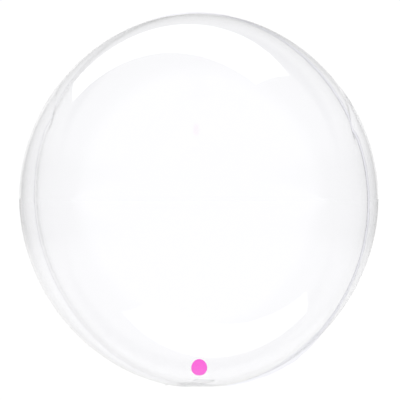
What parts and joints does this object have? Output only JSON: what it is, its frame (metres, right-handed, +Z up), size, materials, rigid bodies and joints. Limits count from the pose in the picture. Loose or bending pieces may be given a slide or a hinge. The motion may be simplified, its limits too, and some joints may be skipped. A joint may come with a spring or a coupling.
{
  "type": "clear bubble balloon",
  "caption": "Clear round film balloon, blown up and sealed, lying on a small flattened spot with its flat filling tail trailing behind it.",
  "frame": {"origin": "middle of the flattened spot that the balloon lies on, at floor level", "axes": "+Z up, -Y towards the front panel with the printed spot, +X to the balloon's right"},
  "size_m": [0.4576, 0.451, 0.4768],
  "materials": {
    "clear_film": "clear stretched film with a high gloss"
  },
  "bodies": {
    "root": {"balloon_envelope": "clear_film"}
  },
  "joints": []
}
